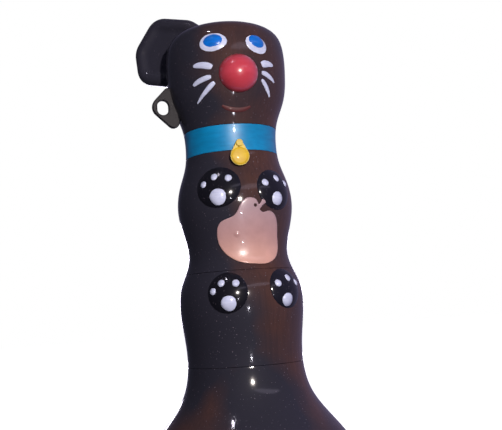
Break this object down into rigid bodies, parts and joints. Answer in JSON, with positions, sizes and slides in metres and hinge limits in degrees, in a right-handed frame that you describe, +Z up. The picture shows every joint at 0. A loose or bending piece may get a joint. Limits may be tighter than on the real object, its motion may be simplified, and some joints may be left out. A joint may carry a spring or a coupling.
{
  "type": "twist stack puzzle",
  "caption": "Twist-and-match puzzle: a lacquered wooden cat whose turned segments spin on one spindle above a wide flared foot.",
  "frame": {"origin": "centre of the felt pad's underside, on the spindle's axis", "axes": "+Z up along the spindle, the face looks along -Y, +X to the viewer's right"},
  "size_m": [0.101, 0.101, 0.2122],
  "materials": {
    "lacquered_wood": "high gloss dark brown lacquer",
    "bare_wood": "bare beech",
    "felt": "felt",
    "blue_lacquer": "gloss lacquer on wood",
    "yellow_enamel": "gloss enamel",
    "red_lacquer": "gloss lacquer on a wooden ball",
    "dark_red_enamel": "enamel stroke",
    "pink_enamel": "gloss enamel",
    "black_lacquer": "gloss black lacquer on a wooden boss",
    "iris_blue": "gloss enamel",
    "white_enamel": "raised gloss enamel",
    "loop_cord": "stiff waxed loop",
    "brass": "turned",
    "slip_plastic": "low friction washer",
    "zinc_steel": "zinc plated"
  },
  "bodies": {
    "base": {"base_foot": "lacquered_wood", "base_nut": "zinc_steel", "base_pad": "felt", "base_washer": "zinc_steel", "lock_nut": "zinc_steel", "preload_spring": "zinc_steel", "spindle_rod": "zinc_steel", "spring_washer": "zinc_steel", "thrust_washer_hips": "slip_plastic"},
    "hips": {"bush_hips": "brass", "hips_segment": "lacquered_wood", "palm_pad_hind_left": "white_enamel", "palm_pad_hind_right": "white_enamel", "paw_hind_left": "black_lacquer", "paw_hind_right": "black_lacquer", "thrust_washer_chest": "slip_plastic", "toe_pads_hind_left": "white_enamel", "toe_pads_hind_right": "white_enamel"},
    "chest": {"bush_chest": "brass", "chest_segment": "lacquered_wood", "palm_pad_front_left": "white_enamel", "palm_pad_front_right": "white_enamel", "paw_front_left": "black_lacquer", "paw_front_right": "black_lacquer", "thrust_washer_collar": "slip_plastic", "toe_pads_front_left": "white_enamel", "toe_pads_front_right": "white_enamel", "tummy_patch": "pink_enamel"},
    "collar": {"bush_collar": "brass", "collar_ring": "blue_lacquer", "tag_pin": "white_enamel", "thrust_washer_head": "slip_plastic"},
    "tag": {"collar_tag": "yellow_enamel"},
    "head": {"bush_head": "brass", "crown_plug": "lacquered_wood", "ear_dowel_left": "bare_wood", "ear_dowel_right": "bare_wood", "ear_left": "lacquered_wood", "ear_right": "lacquered_wood", "eye_white_left": "white_enamel", "eye_white_right": "white_enamel", "hang_loop": "loop_cord", "head_block": "lacquered_wood", "head_washer": "slip_plastic", "iris_left": "iris_blue", "iris_right": "iris_blue", "mouth": "dark_red_enamel", "nose_ball": "red_lacquer", "whisker_left_lower": "white_enamel", "whisker_left_middle": "white_enamel", "whisker_left_upper": "white_enamel", "whisker_right_lower": "white_enamel", "whisker_right_middle": "white_enamel", "whisker_right_upper": "white_enamel"}
  },
  "joints": [
    {"name": "hips_twist", "type": "hinge", "parent": "base", "child": "hips", "pos_m": [0, 0, 0.05], "axis": [0, 0, 1], "continuous": true},
    {"name": "chest_twist", "type": "hinge", "parent": "hips", "child": "chest", "pos_m": [0, 0, 0.0898], "axis": [0, 0, 1], "continuous": true},
    {"name": "collar_twist", "type": "hinge", "parent": "chest", "child": "collar", "pos_m": [0, 0, 0.141], "axis": [0, 0, 1], "continuous": true},
    {"name": "head_twist", "type": "hinge", "parent": "collar", "child": "head", "pos_m": [0, 0, 0.1524], "axis": [0, 0, 1], "continuous": true},
    {"name": "tag_swing", "type": "hinge", "parent": "collar", "child": "tag", "pos_m": [-0.00219, -0.0232, 0.1431], "axis": [-0.0941, -0.9956, 0], "range_deg": [-30, 30]}
  ]
}
